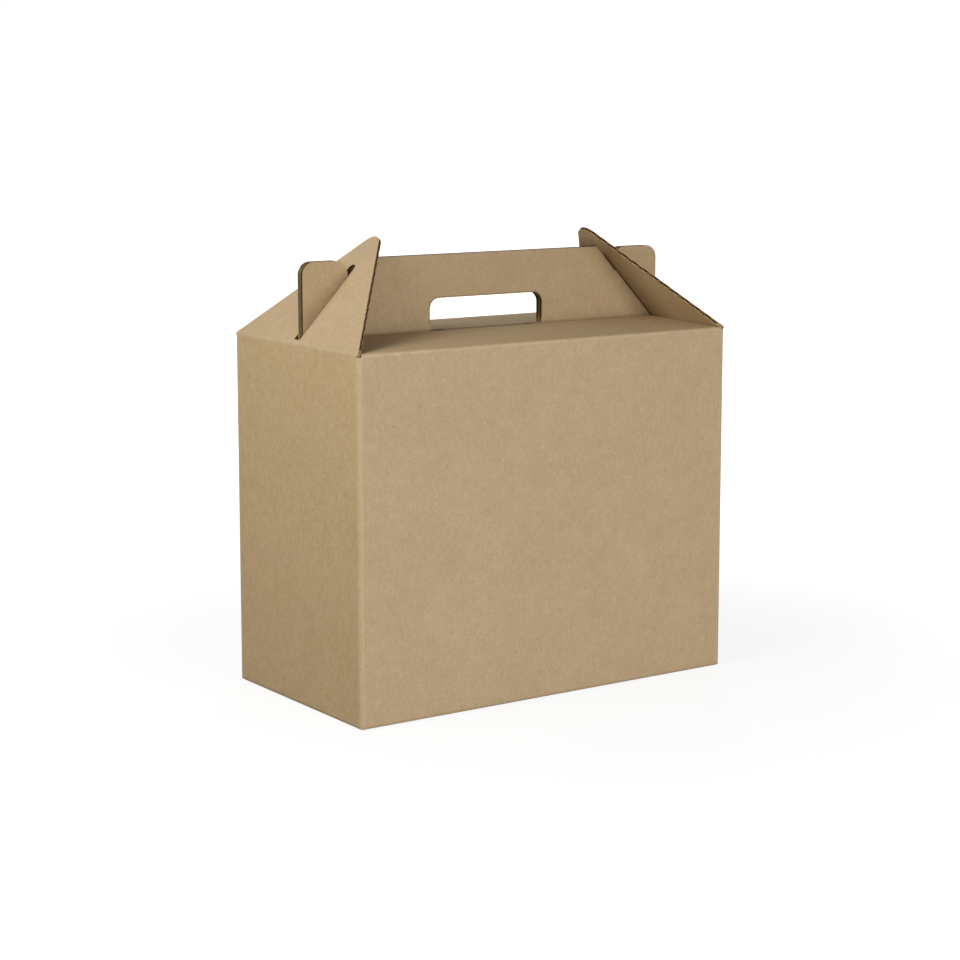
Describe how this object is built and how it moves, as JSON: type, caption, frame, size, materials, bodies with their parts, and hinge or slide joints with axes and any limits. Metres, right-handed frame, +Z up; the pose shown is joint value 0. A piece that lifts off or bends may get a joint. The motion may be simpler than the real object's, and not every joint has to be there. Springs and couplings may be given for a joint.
{
  "type": "gable box",
  "caption": "Folded corrugated carry box with a gable handle top, a hand hole and two slotted end flaps that hinge open and lock over the handle's ends.",
  "frame": {"origin": "middle of the underside, on the surface the box stands on", "axes": "+X along the handle, +Y towards the back wall, +Z up"},
  "size_m": [0.35, 0.186, 0.3616],
  "materials": {
    "kraft_board": "unprinted brown kraft corrugated board"
  },
  "bodies": {
    "carton": {"carton": "kraft_board"},
    "left_flap": {"left_end_flap": "kraft_board"},
    "right_flap": {"right_end_flap": "kraft_board"}
  },
  "joints": [
    {"name": "left_flap_fold", "type": "hinge", "parent": "carton", "child": "left_flap", "pos_m": [-0.1736, 0, 0.28245], "axis": [0, -1, 0], "range_deg": [0, 135]},
    {"name": "right_flap_fold", "type": "hinge", "parent": "carton", "child": "right_flap", "pos_m": [0.1736, 0, 0.28245], "axis": [0, 1, 0], "range_deg": [0, 135]}
  ]
}
